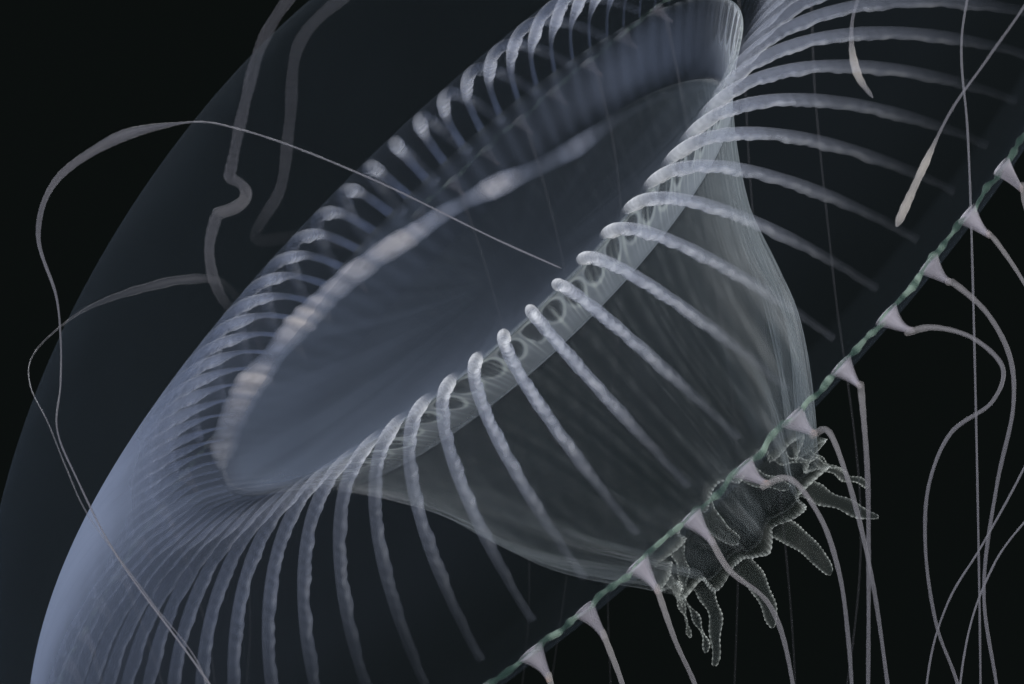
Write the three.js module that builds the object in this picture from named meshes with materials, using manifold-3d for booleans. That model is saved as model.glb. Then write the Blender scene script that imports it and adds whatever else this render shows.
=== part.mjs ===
// A many-ribbed jellyfish (a hydromedusa of the crystal-jelly family): a life-size model on a stand.
// Millimetres, +Z up. The origin is the centre of the underside of the stand's base.
// The umbrella is drawn in its own frame, with its axis along z and z = 0 at the rim of the stomach,
// and the group named animal leans it over. Tentacles and the stand are drawn upright, in the model's
// own frame.
import * as THREE from 'three'
import { mergeVertices } from 'three/addons/utils/BufferGeometryUtils.js'
import Module from 'manifold-3d'

const wasm = await Module()
wasm.setup()

// Umbrella
const bellRadius = 50
const bellHeight = 26.8
const bellFullness = 1.134        // exponent of the dome's outline: 1 is an ellipse, more is flatter
const marginLevel = -7.3          // height of the umbrella's edge, from the rim of the stomach
const stomachRadius = 24.4
const skirtDepth = 28             // from the rim of the stomach to the mouth
const mouthRadius = 7.2
const canalCount = 80
const canalPhase = 0.71           // place of the first canal, in canal spacings
const bulbPhase = 0.45            // place of the first bulb, in the same spacings
const lipCount = 12
const quarters = 4
const wall = 0.8
const clearance = 0.3             // between neighbouring pieces

// Pose
const bellCentreHeight = 150
const leanAngle = THREE.MathUtils.degToRad(46.06)
const leanHeading = THREE.MathUtils.degToRad(-157.6)
const turnAboutAxis = THREE.MathUtils.degToRad(158.93)

// Tentacles
const tentacleThickness = 0.8
const bulbLength = 1.7

// Stand
const baseRadius = 62
const baseThickness = 8
const rodRadius = 1.6
const rodSpread = THREE.MathUtils.degToRad(15)

const round = 40                  // columns round the umbrella
const animal = new THREE.Group()
animal.name = 'animal'
animal.position.z = bellCentreHeight
animal.quaternion
  .setFromAxisAngle(new THREE.Vector3(0, 0, 1), leanHeading)
  .multiply(new THREE.Quaternion().setFromAxisAngle(new THREE.Vector3(0, 1, 0), leanAngle))
  .multiply(new THREE.Quaternion().setFromAxisAngle(new THREE.Vector3(0, 0, 1), turnAboutAxis))
animal.updateMatrixWorld()

const model = new THREE.Group()
model.name = 'jellyfish'
model.add(animal)

const jelly = { color: 0x2c363c, roughness: 0.15, metalness: 0 }
const canalTissue = { color: 0x8c92ab, roughness: 0.35, metalness: 0 }
const skirtTissue = { color: 0x4a5252, roughness: 0.3, metalness: 0 }
const marginTissue = { color: 0x6f9aa0, roughness: 0.35, metalness: 0 }
const threadTissue = { color: 0x8f8d98, roughness: 0.35, metalness: 0 }
const darkBase = { color: 0x1b1c1e, roughness: 0.45, metalness: 0 }
const steel = { color: 0xb6b8ba, roughness: 0.35, metalness: 1 }

/** Adds a named mesh with a material of its own to a group. */
function addPiece (group, name, geometry, finish) {
  const mesh = new THREE.Mesh(geometry, new THREE.MeshStandardMaterial(finish))
  mesh.name = name
  group.add(mesh)
  return mesh
}

/** Keeps only the positions of a geometry and merges the vertices that coincide. */
function bare (geometry) {
  geometry.deleteAttribute('normal')
  geometry.deleteAttribute('uv')
  return mergeVertices(geometry, 1e-4)
}

/** Turns a closed geometry's faces outwards: its signed volume has to be positive. */
function facingOut (geometry) {
  const index = geometry.index.array
  const position = geometry.attributes.position
  const corners = [new THREE.Vector3(), new THREE.Vector3(), new THREE.Vector3()]
  let volume = 0
  for (let face = 0; face < index.length; face += 3) {
    corners.forEach((corner, k) => corner.fromBufferAttribute(position, index[face + k]))
    volume += corners[0].dot(corners[1].cross(corners[2]))
  }
  if (volume < 0) {
    for (let face = 0; face < index.length; face += 3) {
      const second = index[face + 1]
      index[face + 1] = index[face + 2]
      index[face + 2] = second
    }
  }
  return geometry
}

/** A closed geometry from a list of points and a list of triangles. */
function solidOf (points, triangles) {
  const geometry = new THREE.BufferGeometry().setFromPoints(points)
  geometry.setIndex(triangles.flat())
  return facingOut(bare(geometry))
}

/** A ring or a dome: a profile of [radius, height] pairs turned about the z axis. */
function turned (profile, columns = round) {
  const points = profile.map(([radius, height]) => new THREE.Vector2(radius, height))
  return facingOut(bare(new THREE.LatheGeometry(points, columns).rotateX(Math.PI / 2)))
}

/** A closed geometry as a solid that can be joined or cut. */
function solidBody (geometry) {
  return new wasm.Manifold(new wasm.Mesh({
    numProp: 3,
    vertProperties: Float32Array.from(geometry.attributes.position.array),
    triVerts: Uint32Array.from(geometry.index.array)
  }))
}

/** A solid back as a geometry. */
function geometryOf (body) {
  const mesh = body.getMesh()
  const geometry = new THREE.BufferGeometry()
  geometry.setAttribute('position', new THREE.Float32BufferAttribute(mesh.vertProperties, 3))
  geometry.setIndex([...mesh.triVerts])
  return geometry
}

/** Joins closed geometries into one. */
const joined = geometries => geometryOf(geometries.map(solidBody).reduce((sum, body) => sum.add(body)))

/** The first closed geometry with the second cut away. */
const cutAway = (geometry, tool) => geometryOf(solidBody(geometry).subtract(solidBody(tool)))

/** The place at an angle round the umbrella, in its own frame. Angle 0 faces the front of the model. */
function aroundAxis (angle, radius, height) {
  return new THREE.Vector3(radius * Math.sin(angle), -radius * Math.cos(angle), height)
}

/** A direction or a place of the umbrella's frame as one of the model's frame. */
const placed = point => point.clone().applyMatrix4(animal.matrixWorld)

/** Outline of the dome: [radius, height] at a share of the way up from the edge (0) to the top (1). */
function domeOutline (share, offset = 0) {
  const angle = share * Math.PI / 2
  const cosine = Math.cos(angle)
  const sine = Math.sin(angle)
  const radius = bellRadius * (share < 1 ? cosine ** bellFullness : 0)
  const height = marginLevel + bellHeight * sine ** bellFullness
  return [radius + offset * cosine, height + offset * sine]
}

/** Meridian of the underside: it rises a little from the rim of the stomach, then falls to the edge. */
const undersideCurve = new THREE.CubicBezierCurve(
  new THREE.Vector2(stomachRadius, 0),
  new THREE.Vector2(32, 5.1),
  new THREE.Vector2(44, 1.2),
  new THREE.Vector2(bellRadius, marginLevel)
)

/** A point of that meridian moved by offset along its normal, upwards where offset is positive. */
function underside (share, offset = 0) {
  const point = undersideCurve.getPoint(share)
  const along = undersideCurve.getTangent(share)
  return [point.x - offset * along.y, point.y + offset * along.x]
}

const lensSag = 3.6               // how far the thick middle of the jelly bulges down into the stomach
const rimShare = 0.86             // where the underside of the jelly ends and the thin edge begins
const edgeShare = 0.075           // the same place on the dome's outline
const domeSteps = 6
const lensSteps = 2
const ribSteps = 4

/** bell_dome: the solid jelly between the outer and the inner skin, thick in the middle. */
function domeGeometry () {
  const profile = []
  for (let k = domeSteps; k >= 0; k--) {
    profile.push(domeOutline(edgeShare + (1 - edgeShare) * k / domeSteps))
  }
  for (let k = ribSteps; k >= 0; k--) profile.push(underside(rimShare * k / ribSteps, wall + clearance))
  const [lensRadius, lensTop] = underside(0, wall + clearance)
  for (let k = lensSteps - 1; k >= 0; k--) {
    const share = k / lensSteps
    profile.push([lensRadius * share, lensTop - lensSag * (1 - share * share)])
  }
  return turned(profile)
}

addPiece(animal, 'bell_dome', domeGeometry(), jelly)

const ribDepth = 1.7              // of the gonad that hangs from each canal
const ribShare = 0.27             // half width of a rib, as a share of the canals' spacing

/** One quarter of the underside's skin, with a rib for each radial canal and its gonad. */
function undersideQuarter (quarter) {
  const canals = canalCount / quarters
  const step = 2 * Math.PI / canalCount
  const seam = 0.2 * clearance / stomachRadius
  const start = (quarter * canals + canalPhase - 0.5) * step
  const angles = []
  const hangs = []
  angles.push(start + seam)
  hangs.push(0)
  for (let canal = 0; canal < canals; canal++) {
    const middle = start + (canal + 0.5) * step
    angles.push(middle - ribShare * step, middle, middle + ribShare * step)
    hangs.push(0, 1, 0)
  }
  angles.push(start + canals * step - seam)
  hangs.push(0)
  const upperAngles = []
  for (let k = 0; k <= canals / 2; k++) {
    upperAngles.push(Math.min(Math.max(start + 2 * k * step, start + seam), start + canals * step - seam))
  }
  const points = []
  const lower = (row, column) => row * angles.length + column
  const upper = (row, column) => (ribSteps + 1) * angles.length + row * upperAngles.length + column
  const first = 0.012
  const last = rimShare - 0.01
  for (let row = 0; row <= ribSteps; row++) {
    const share = first + (last - first) * row / ribSteps
    const hang = ribDepth * Math.sin(Math.PI * (0.16 + 0.76 * row / ribSteps))
    angles.forEach((angle, k) => points.push(aroundAxis(angle, ...underside(share, -hang * hangs[k]))))
  }
  for (let row = 0; row <= ribSteps; row++) {
    const share = first + (last - first) * row / ribSteps
    upperAngles.forEach(angle => points.push(aroundAxis(angle, ...underside(share, wall))))
  }
  const triangles = []
  const quad = (a, b, c, d) => triangles.push([a, b, c], [a, c, d])
  for (let row = 0; row < ribSteps; row++) {
    for (let k = 0; k < angles.length - 1; k++) {
      quad(lower(row, k), lower(row, k + 1), lower(row + 1, k + 1), lower(row + 1, k))
    }
    for (let k = 0; k < upperAngles.length - 1; k++) {
      quad(upper(row + 1, k), upper(row + 1, k + 1), upper(row, k + 1), upper(row, k))
    }
    const end = angles.length - 1
    const upperEnd = upperAngles.length - 1
    quad(lower(row + 1, 0), upper(row + 1, 0), upper(row, 0), lower(row, 0))
    quad(lower(row, end), upper(row, upperEnd), upper(row + 1, upperEnd), lower(row + 1, end))
  }
  // The two curved end walls join the fine lower edge to the coarse upper one.
  for (const [row, flip] of [[0, false], [ribSteps, true]]) {
    let coarse = 0
    for (let k = 0; k < angles.length - 1; k++) {
      const between = (angles[k] + angles[k + 1]) / 2
      const turn = (a, b, c) => triangles.push(flip ? [a, c, b] : [a, b, c])
      const middleOf = place => (upperAngles[place] + upperAngles[place + 1]) / 2
      while (coarse < upperAngles.length - 1 && middleOf(coarse) < between) {
        turn(upper(row, coarse + 1), lower(row, k), upper(row, coarse))
        coarse++
      }
      turn(upper(row, coarse), lower(row, k + 1), lower(row, k))
    }
    while (coarse < upperAngles.length - 1) {
      const k = angles.length - 1
      const corner = [upper(row, coarse + 1), lower(row, k), upper(row, coarse)]
      triangles.push(flip ? [corner[0], corner[2], corner[1]] : corner)
      coarse++
    }
  }
  return solidOf(points, triangles)
}

for (let quarter = 0; quarter < quarters; quarter++) {
  addPiece(animal, `underside_ribs_${quarter + 1}`, undersideQuarter(quarter), canalTissue)
}

/** Outline of the stomach and the skirt below it, from the rim (0) to the mouth (1). */
const skirtCurve = new THREE.SplineCurve([
  new THREE.Vector2(stomachRadius - 0.5, -0.2),
  new THREE.Vector2(20.1, -4),
  new THREE.Vector2(15.8, -11),
  new THREE.Vector2(12.8, -19.5),
  new THREE.Vector2(mouthRadius, -skirtDepth)
])

/** A thin ring of the skirt between two shares of its outline, closed over its wall. */
function skirtRing (from, to, steps, columns) {
  const profile = []
  for (let k = 0; k <= steps; k++) {
    const point = skirtCurve.getPoint(from + (to - from) * k / steps)
    profile.push([point.x, point.y])
  }
  for (let k = steps; k >= 0; k--) {
    const share = from + (to - from) * k / steps
    const point = skirtCurve.getPoint(share)
    const along = skirtCurve.getTangent(share)
    profile.push([point.x + wall * along.y, point.y - wall * along.x])
  }
  profile.push(profile[0])
  return turned(profile, columns)
}

/** Draws the lower part of a ring into soft folds, deeper towards the mouth. */
function folded (geometry, folds) {
  const position = geometry.attributes.position
  for (let k = 0; k < position.count; k++) {
    const [x, y, z] = [position.getX(k), position.getY(k), position.getZ(k)]
    const depth = Math.min(1, Math.max(0, (-z - 6) / (skirtDepth - 6)))
    const scale = 1 + 0.12 * depth * Math.cos(folds * Math.atan2(y, x))
    position.setXY(k, x * scale, y * scale)
  }
  return geometry
}

addPiece(animal, 'stomach_wall', skirtRing(0, 0.24, 1, round), skirtTissue)
addPiece(animal, 'manubrium', folded(skirtRing(0.26, 1, 5, 3 * lipCount), lipCount), skirtTissue)

const lipLength = 6.5
const lipWidth = 2.1
const lipSteps = 3

/** One mouth lip: a narrow blunt blade that curls outwards as it hangs. */
function lipBlade (angle, curl) {
  const points = []
  const triangles = []
  for (let step = 0; step < lipSteps; step++) {
    const share = step / lipSteps
    const half = lipWidth / 2 * (1 - share * share * 0.4)
    const radius = mouthRadius - 0.3 + curl * share * share
    const height = -skirtDepth - clearance - 0.6 - lipLength * share * (1 - 0.12 * share)
    const across = new THREE.Vector3(Math.cos(angle), Math.sin(angle), 0)
    const outward = new THREE.Vector3(Math.sin(angle), -Math.cos(angle), 0.35 * share)
    const middle = aroundAxis(angle, radius, height)
    points.push(middle.clone().addScaledVector(across, half))
    points.push(middle.clone().addScaledVector(outward, 0.45))
    points.push(middle.clone().addScaledVector(across, -half))
    points.push(middle.clone().addScaledVector(outward, -0.45))
  }
  const tip = points.push(aroundAxis(angle, mouthRadius - 0.3 + curl, -skirtDepth - lipLength)) - 1
  for (let side = 0; side < 4; side++) {
    const next = (side + 1) % 4
    for (let step = 0; step < lipSteps - 1; step++) {
      const [a, b] = [4 * step + side, 4 * step + next]
      triangles.push([a, b, b + 4], [a, b + 4, a + 4])
    }
    const last = 4 * (lipSteps - 1)
    triangles.push([last + side, last + next, tip])
  }
  triangles.push([0, 2, 1], [0, 3, 2])
  return solidOf(points, triangles)
}

/** The short length of mouth rim that carries a group of lips. */
function lipRim (from, to) {
  const points = []
  const triangles = []
  const steps = 4
  const section = [[0.45, -0.1], [0.45, -1.1], [-0.45, -1.1], [-0.45, -0.1]]
  for (let step = 0; step <= steps; step++) {
    const angle = from + (to - from) * step / steps
    for (const [out, up] of section) {
      points.push(aroundAxis(angle, mouthRadius - 0.3 + out, -skirtDepth - clearance + up))
    }
  }
  for (let side = 0; side < 4; side++) {
    const next = (side + 1) % 4
    for (let step = 0; step < steps; step++) {
      const [a, b] = [4 * step + side, 4 * step + next]
      triangles.push([a, b, b + 4], [a, b + 4, a + 4])
    }
  }
  const end = 4 * steps
  triangles.push([0, 2, 1], [0, 3, 2], [end, end + 1, end + 2], [end, end + 2, end + 3])
  return solidOf(points, triangles)
}

for (let quarter = 0; quarter < quarters; quarter++) {
  const inQuarter = lipCount / quarters
  const step = 2 * Math.PI / lipCount
  const start = quarter * inQuarter * step
  const blades = []
  for (let k = 0; k < inQuarter; k++) {
    blades.push(lipBlade(start + (k + 0.5) * step, k % 2 ? 3.6 : 1.8))
  }
  const rim = lipRim(start + 0.03, start + inQuarter * step - 0.03)
  addPiece(animal, `mouth_lips_${quarter + 1}`, joined([rim, ...blades]), skirtTissue)
}

/** velum: the narrow shelf inside the umbrella's edge. */
addPiece(animal, 'velum', turned([
  [45.6, marginLevel - 1.3],
  [48.9, marginLevel - 0.5],
  [48.9, marginLevel + 0.2],
  [45.6, marginLevel - 1.3]
]), jelly)

/** Where a bulb ends and its tentacle begins, in the umbrella's frame. */
function bulbTip (canal, beyond = 0) {
  const angle = (canal + bulbPhase) * 2 * Math.PI / canalCount
  return aroundAxis(angle, bellRadius + 0.4 + 0.5 * beyond, marginLevel - bulbLength - beyond)
}

/** One quarter of the thin edge, with its ring canal and a cone-shaped bulb under each radial canal. */
function marginQuarter (quarter) {
  const columns = 2 * canalCount / quarters
  const step = Math.PI / canalCount
  const seam = 0.2 * clearance / bellRadius
  const start = (quarter * columns + 2 * bulbPhase - 1) * step
  const points = []
  const triangles = []
  const [outerRadius, outerHeight] = domeOutline(0.06)
  for (let column = 0; column <= columns; column++) {
    let angle = start + column * step
    if (column === 0) angle += seam
    if (column === columns) angle -= seam
    points.push(aroundAxis(angle, outerRadius, outerHeight))
    points.push(aroundAxis(angle, bellRadius + 0.2, marginLevel))
    const canal = (quarter * columns + column - 1) / 2
    const tip = bulbTip(canal)
    const plain = aroundAxis(angle, bellRadius - 0.5, marginLevel - 0.5)
    points.push(column % 2 ? tip : plain)
    points.push(aroundAxis(angle, outerRadius - 0.7, outerHeight))
  }
  const sides = 4
  for (let side = 0; side < sides; side++) {
    const next = (side + 1) % sides
    for (let column = 0; column < columns; column++) {
      const [a, b] = [sides * column + side, sides * column + next]
      triangles.push([a, b, b + sides], [a, b + sides, a + sides])
    }
  }
  const end = sides * columns
  for (let side = 1; side < sides - 1; side++) {
    triangles.push([0, side + 1, side], [end, end + side, end + side + 1])
  }
  return solidOf(points, triangles)
}

/** A thread of three sides along a curve. */
function thread (curve, steps, thickness = tentacleThickness) {
  const section = new THREE.Shape()
  for (let corner = 0; corner < 3; corner++) {
    const angle = corner * 2 * Math.PI / 3
    const [x, y] = [thickness / 2 * Math.cos(angle), thickness / 2 * Math.sin(angle)]
    if (corner === 0) section.moveTo(x, y)
    else section.lineTo(x, y)
  }
  section.closePath()
  const along = { steps, bevelEnabled: false, extrudePath: curve }
  return facingOut(bare(new THREE.ExtrudeGeometry(section, along)))
}

/** A number between -1 and 1 that stays the same for the same canal and purpose. */
function varied (canal, purpose) {
  const value = Math.sin(canal * 12.9898 + purpose * 78.233) * 43758.5453
  return 2 * (value - Math.floor(value)) - 1
}

const downAxis = new THREE.Vector3(0, 0, -1).applyQuaternion(animal.quaternion)

/** A plain hanging tentacle: it leaves its bulb along the umbrella's axis and bends to the vertical. */
function hangingCurve (canal, length, beyond) {
  const start = placed(bulbTip(canal, beyond))
  const reach = 5 + 2 * varied(canal, 1)
  const points = []
  for (const share of [0, 0.06, 0.16, 0.36, 0.66, 1]) {
    const sway = 1.6 * Math.sin(7 * share + 3 * varied(canal, 2)) - 1.6 * Math.sin(3 * varied(canal, 2))
    const point = start.clone().addScaledVector(downAxis, reach * (1 - Math.exp(-9 * share)))
    point.x += sway
    point.y += 2.4 * share * varied(canal, 3)
    point.z -= length * share
    points.push(point)
  }
  return new THREE.CatmullRomCurve3(points)
}

/**
 * Tentacles with a course of their own: the canal whose bulb carries each, the number of lengths it is
 * made in, and the places that it passes, right, back and up from the umbrella's centre.
 */
const drapedTentacles = [
  { canal: 72, lengths: 3, past: [
    [-14.5, -40.5, -26.5], [-20.4, -35, -19.7], [-23.5, -29.5, -15.5], [-25.3, -25.5, -12.7],
    [-26, -19.5, -9.9], [-26.8, -14, -7.1], [-27.7, -10, -4.1], [-29.3, -7.3, 0], [-28.6, -3.3, 4],
    [-25, -1.3, 6.8], [-20, -6, 7.6], [-14.4, -19.5, 6.2], [-5.4, -35.5, 2.2], [1.9, -43.8, -1.6],
    [5.3, -46.6, -3.2]
  ] },
  { canal: 42, lengths: 2, past: [
    [-15.8, 53.5, 2], [-19.6, 52, 1.8], [-17.3, 49.5, 6], [-16.3, 46.7, 11.5], [-15, 42, 18],
    [-9.5, 38.7, 22.6], [-3.3, 36.7, 27]
  ] },
  { canal: 44, lengths: 2, past: [
    [-21.4, 50.5, -4.5], [-23.4, 49.5, 0.2], [-21.5, 46.7, 6.6], [-19.8, 41.5, 12], [-17.5, 35, 17.5],
    [-13, 27.7, 22.4], [-8, 21.7, 27.1]
  ] },
  { canal: 46, lengths: 3, past: [
    [-18.9, 50, -8.1], [-20.2, 49, -4.6], [-22, 46, -2.2], [-24.5, 41, -2], [-26.9, 35.5, -2.7],
    [-29.6, 26, -4.1], [-30.8, 16, -5.7], [-31.5, 5, -8], [-29.7, -8, -10.2], [-27.2, -16.5, -12.5],
    [-25.1, -23, -15.1], [-22.8, -29.5, -17.7], [-18.5, -35.5, -22.1], [-14.9, -38.5, -26.7],
    [-15.6, -39.5, -32], [-16, -40, -45], [-15.4, -40, -75]
  ] },
  { canal: 77, lengths: 1, past: [[5.6, -44, -30], [6.6, -43, -45], [6, -43, -70], [6.6, -43, -88]] },
  { canal: 78, lengths: 1, past: [
    [8.8, -45.3, -26.5], [10.3, -43.8, -34], [10.5, -43, -60], [9.6, -43, -96]
  ] },
  { canal: 79, lengths: 1, past: [
    [11.5, -46, -23.5], [12.8, -45.3, -26.5], [14.3, -43.8, -34], [15, -43.3, -70], [14, -43, -106]
  ] },
  { canal: 0, lengths: 2, past: [
    [14.4, -46.6, -19.6], [16.6, -46.3, -21.5], [18, -45.4, -26], [18.8, -44.5, -40], [18.2, -44.5, -70],
    [19, -44, -100]
  ] },
  { canal: 1, lengths: 2, past: [
    [17.6, -47, -14.6], [19.2, -48, -16.6], [20.2, -48.2, -19.5], [20.8, -47.3, -23], [21.4, -45.4, -30],
    [22, -44.5, -60], [21.5, -44.5, -110]
  ] },
  { canal: 2, lengths: 1, past: [
    [19.7, -47.3, -12], [20.6, -48.2, -14.3], [21.7, -48.3, -18.5], [22.8, -46.6, -24], [24.6, -45, -40],
    [25, -44.5, -75], [25.6, -44, -98]
  ] },
  { canal: 3, lengths: 1, past: [
    [21.6, -46.8, -10], [21.9, -46.9, -14], [22.2, -45, -19.5], [22.4, -43, -27], [22.2, -42, -60],
    [22.6, -41, -108]
  ] },
  { canal: 4, lengths: 3, past: [
    [25.6, -45.6, -6.4], [27.6, -47.3, -7], [29, -48.6, -8.6], [28.2, -50, -10.4], [26, -50.3, -12],
    [24.9, -49.9, -14.6], [24.8, -48.8, -18], [25.6, -47.3, -22.5], [27.2, -46, -27], [28, -46, -45],
    [28.4, -46, -90]
  ] },
  { canal: 5, lengths: 2, past: [
    [27, -44.6, -4], [28.6, -45.6, -5.6], [29.8, -46, -8], [30, -46, -10.6], [29.2, -45.4, -15],
    [28.6, -44.6, -21], [29.6, -44, -28], [30.8, -43.6, -60], [30.4, -43.6, -97]
  ] },
  { canal: 6, lengths: 3, past: [
    [29.6, -42.6, -1.6], [31.6, -43.2, -5], [32.8, -43.3, -10], [31.2, -42.9, -14], [29, -41.4, -18.6],
    [27.2, -40.3, -22], [26.2, -38.8, -27], [26.4, -38.5, -60], [25.8, -38.5, -104]
  ] },
  { canal: 7, lengths: 1, past: [
    [31.6, -41.4, 0], [34.5, -42, -4], [36, -41.5, -12], [36.4, -41, -30], [35.6, -41, -92]
  ] },
  { canal: 8, lengths: 2, past: [
    [34, -39.6, 2], [36.2, -38.6, -6], [33.8, -37.6, -15], [30.4, -36.8, -20], [28.6, -36.5, -26],
    [29, -36.5, -55], [28.4, -36.5, -80]
  ] },
  { canal: 10, lengths: 2, past: [
    [37, -36, 6], [39, -36, -4], [37.4, -35.6, -16], [34.2, -35, -24], [33, -35, -34], [33.6, -35, -75],
    [33, -35, -112]
  ] },
  { canal: 12, lengths: 1, past: [
    [40, -31, 10], [41.6, -31, 0], [42, -31, -30], [41.4, -30, -60], [42, -30, -100]
  ] },
  { canal: 15, lengths: 1, past: [
    [43, -23, 17], [44.6, -23.4, 8], [45, -24, -20], [44.4, -24, -60], [45, -24, -86]
  ] },
  { canal: 22, lengths: 2, past: [
    [42, 6.6, 26], [40.6, 7.6, 19], [37, 7.4, 13.4], [34.2, 6.7, 9.5], [31.9, 5.8, 5], [30, 5, 1]
  ] },
  { canal: 25, lengths: 2, past: [
    [38, 17, 26], [36.3, 16.2, 15.4], [36.6, 15.2, 8.6], [36.8, 14.4, 0], [37.5, 14.4, -40], [37, 14.4, -84]
  ] },
  { canal: 28, lengths: 1, past: [[32, 27.6, 26], [29.4, 28, 18], [29.8, 28, 14], [31, 27.6, 12]] }
]

const spanned = drapedTentacles.map(tentacle => tentacle.canal)
const stepLength = 6.8            // of a thread between two rings of its solid

/** Makes a draped tentacle in its lengths, each a clearance from the next. */
function addDraped ({ canal, lengths, past }) {
  const centre = new THREE.Vector3(0, 0, bellCentreHeight)
  const places = [placed(bulbTip(canal, clearance + 0.1))]
  past.forEach(place => places.push(new THREE.Vector3(...place).add(centre)))
  const course = new THREE.CatmullRomCurve3(places)
  const total = course.getLength()
  for (let length = 0; length < lengths; length++) {
    const from = length / lengths + (length > 0 ? clearance / total : 0)
    const to = (length + 1) / lengths
    const steps = Math.max(4, Math.round(total * (to - from) / stepLength))
    const stretch = []
    for (let k = 0; k <= steps; k++) {
      stretch.push(course.getPointAt(Math.min(1, from + (to - from) * k / steps)))
    }
    const name = `tentacle_${String(canal).padStart(2, '0')}_${length + 1}`
    addPiece(model, name, thread(new THREE.CatmullRomCurve3(stretch), steps), threadTissue)
  }
}

drapedTentacles.forEach(addDraped)

const besideRods = canal => canal > 56 && canal < 69
const freeLength = 78             // of a plain tentacle, before its own variation
const lengthBesideRods = 46
const lengthVariation = 14

/** How long a plain tentacle is. */
function hangingLength (canal) {
  return (besideRods(canal) ? lengthBesideRods : freeLength) + lengthVariation * varied(canal, 4)
}

/** The plain tentacles of one quarter hang from every second bulb and are one piece with it. */
function hangingThreads (quarter) {
  const canals = canalCount / quarters
  const toAnimal = animal.matrixWorld.clone().invert()
  const threads = []
  for (let canal = quarter * canals; canal < (quarter + 1) * canals; canal++) {
    const neighbours = [canal - 1, canal, canal + 1].some(each => spanned.includes(each))
    if (canal % 2 || neighbours) continue
    const curve = hangingCurve(canal, hangingLength(canal), -0.5)
    threads.push(thread(curve, 5).applyMatrix4(toAnimal))
  }
  return threads
}

for (let quarter = 0; quarter < quarters; quarter++) {
  const geometry = joined([marginQuarter(quarter), ...hangingThreads(quarter)])
  addPiece(animal, `margin_${quarter + 1}`, geometry, marginTissue)
}

// The stand: a disc, two rods and a curved saddle that takes the lowest side of the dome.
const lowestAngle = Math.atan2(placedDown(1, 0), -placedDown(0, 1))

/** How much a direction of the umbrella's plane, across or along, points down in the model's frame. */
function placedDown (across, along) {
  return -new THREE.Vector3(across, along, 0).applyQuaternion(animal.quaternion).z
}

const saddleThickness = 1.4
const saddleFrom = 0.1            // shares of the way up the dome that the saddle covers
const saddleTo = 0.24
const saddleSpread = THREE.MathUtils.degToRad(26)

/** A patch between two offsets of the dome, as the saddle and as the tool that trims the rods. */
function domePatch (inner, outer, from, to, spread, across = 8, up = 2) {
  const points = []
  const triangles = []
  for (const offset of [inner, outer]) {
    for (let row = 0; row <= up; row++) {
      for (let column = 0; column <= across; column++) {
        const angle = lowestAngle + spread * (2 * column / across - 1)
        points.push(aroundAxis(angle, ...domeOutline(from + (to - from) * row / up, offset)))
      }
    }
  }
  const at = (layer, row, column) => (layer * (up + 1) + row) * (across + 1) + column
  const quad = (a, b, c, d) => triangles.push([a, b, c], [a, c, d])
  for (let row = 0; row < up; row++) {
    for (let column = 0; column < across; column++) {
      quad(at(0, row, column), at(0, row, column + 1), at(0, row + 1, column + 1), at(0, row + 1, column))
      quad(at(1, row + 1, column), at(1, row + 1, column + 1), at(1, row, column + 1), at(1, row, column))
    }
    quad(at(0, row, 0), at(0, row + 1, 0), at(1, row + 1, 0), at(1, row, 0))
    quad(at(1, row, across), at(1, row + 1, across), at(0, row + 1, across), at(0, row, across))
  }
  for (let column = 0; column < across; column++) {
    quad(at(1, 0, column), at(1, 0, column + 1), at(0, 0, column + 1), at(0, 0, column))
    quad(at(0, up, column), at(0, up, column + 1), at(1, up, column + 1), at(1, up, column))
  }
  return solidOf(points, triangles).applyMatrix4(animal.matrixWorld)
}

addPiece(model, 'stand_base', turned([
  [0, 0], [baseRadius, 0], [baseRadius, baseThickness - 1.5], [baseRadius - 1.5, baseThickness],
  [0, baseThickness]
], 36), darkBase)
const saddleOuter = clearance + saddleThickness
const saddle = domePatch(clearance, saddleOuter, saddleFrom, saddleTo, saddleSpread)
addPiece(model, 'stand_saddle', saddle, steel)
const trim = domePatch(-6, saddleOuter + clearance, 0, 2 * saddleTo, 1.6 * saddleSpread, 32, 12)
for (const side of [-1, 1]) {
  const middle = (saddleFrom + saddleTo) / 2
  const top = placed(aroundAxis(lowestAngle + side * rodSpread, ...domeOutline(middle, saddleOuter)))
  const foot = baseThickness + clearance
  const rod = bare(new THREE.CylinderGeometry(rodRadius, rodRadius, top.z - foot, 12).rotateX(Math.PI / 2))
  rod.translate(top.x, top.y, (top.z + foot) / 2)
  addPiece(model, side < 0 ? 'stand_rod_back' : 'stand_rod_front', cutAway(rod, trim), steel)
}

export default model
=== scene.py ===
import bpy
import numpy as np
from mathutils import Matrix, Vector


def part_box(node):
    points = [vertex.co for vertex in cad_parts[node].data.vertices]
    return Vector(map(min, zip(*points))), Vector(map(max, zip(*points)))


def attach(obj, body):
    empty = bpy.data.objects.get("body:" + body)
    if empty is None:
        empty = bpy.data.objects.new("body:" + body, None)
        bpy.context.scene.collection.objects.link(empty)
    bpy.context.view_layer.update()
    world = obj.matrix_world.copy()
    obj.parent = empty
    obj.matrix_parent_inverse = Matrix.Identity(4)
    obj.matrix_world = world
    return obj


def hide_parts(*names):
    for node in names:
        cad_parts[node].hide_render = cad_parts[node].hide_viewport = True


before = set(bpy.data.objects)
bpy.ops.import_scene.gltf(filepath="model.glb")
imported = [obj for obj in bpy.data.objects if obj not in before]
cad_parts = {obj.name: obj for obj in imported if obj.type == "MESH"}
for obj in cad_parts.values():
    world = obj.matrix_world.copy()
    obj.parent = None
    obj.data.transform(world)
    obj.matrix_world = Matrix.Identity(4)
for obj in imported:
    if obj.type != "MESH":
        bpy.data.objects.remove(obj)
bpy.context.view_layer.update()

# --- The pose ---------------------------------------------------------------------------------
# The jellyfish is drawn in its own frame, in millimetres: axis along z, z = 0 at the rim of the
# stomach, angle 0 to the front. The stand holds it leaning, with its centre 150 mm up.

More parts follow.
